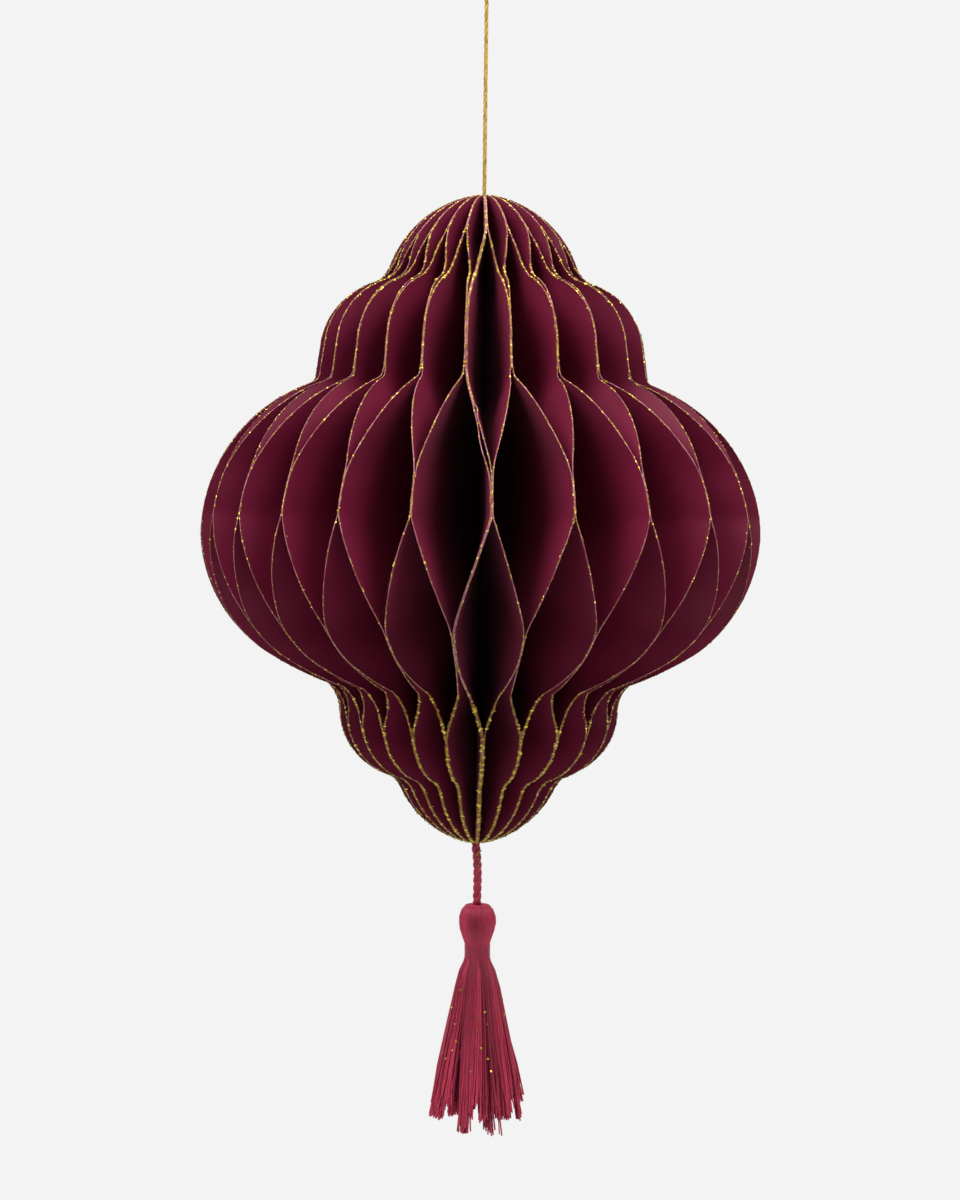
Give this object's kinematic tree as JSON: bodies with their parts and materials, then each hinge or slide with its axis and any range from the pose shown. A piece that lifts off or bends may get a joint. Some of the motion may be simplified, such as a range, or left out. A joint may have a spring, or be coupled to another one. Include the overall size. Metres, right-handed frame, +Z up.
{
  "type": "honeycomb paper ornament",
  "caption": "Hanging honeycomb ornament of folded burgundy paper leaves with gilded edges, a gold cord with a hanging loop above and a thread tassel below.",
  "frame": {"origin": "the underside of the hanging loop's top, where a hook carries the ornament", "axes": "+Z up along the cord and the spine of the fan, -Y towards the closed seam of the fan, the front, and +X to the right of someone facing that front"},
  "size_m": [0.1199, 0.12, 0.273],
  "materials": {
    "paper": "matte dyed paper, gilded rim",
    "gold_cord": "twisted metallic yarn",
    "tassel_cord": "twisted silky cord",
    "tassel_thread": "silky thread"
  },
  "bodies": {
    "root": {"leaf_01": "paper", "leaf_02": "paper", "leaf_03": "paper", "leaf_04": "paper", "leaf_05": "paper", "leaf_06": "paper", "leaf_07": "paper", "leaf_08": "paper", "leaf_09": "paper", "leaf_10": "paper", "leaf_11": "paper", "leaf_12": "paper", "leaf_13": "paper", "leaf_14": "paper", "leaf_15": "paper", "leaf_16": "paper", "leaf_17": "paper", "leaf_18": "paper", "leaf_19": "paper", "leaf_20": "paper", "leaf_21": "paper", "leaf_22": "paper", "leaf_23": "paper", "leaf_24": "paper", "leaf_25": "paper", "leaf_26": "paper", "leaf_27": "paper", "leaf_28": "paper", "leaf_29": "paper", "leaf_30": "paper", "leaf_31": "paper", "leaf_32": "paper", "leaf_33": "paper", "leaf_34": "paper", "leaf_35": "paper", "leaf_36": "paper", "leaf_37": "paper", "leaf_38": "paper", "leaf_39": "paper", "leaf_40": "paper", "leaf_41": "paper", "leaf_42": "paper", "leaf_43": "paper", "leaf_44": "paper", "leaf_45": "paper", "leaf_46": "paper", "leaf_47": "paper", "leaf_48": "paper", "leaf_49": "paper", "hanging_cord": "gold_cord", "hanging_loop": "gold_cord", "loop_knot": "gold_cord", "tassel_cord": "tassel_cord", "tassel_threads": "tassel_thread", "tassel_band": "tassel_thread"}
  },
  "joints": []
}
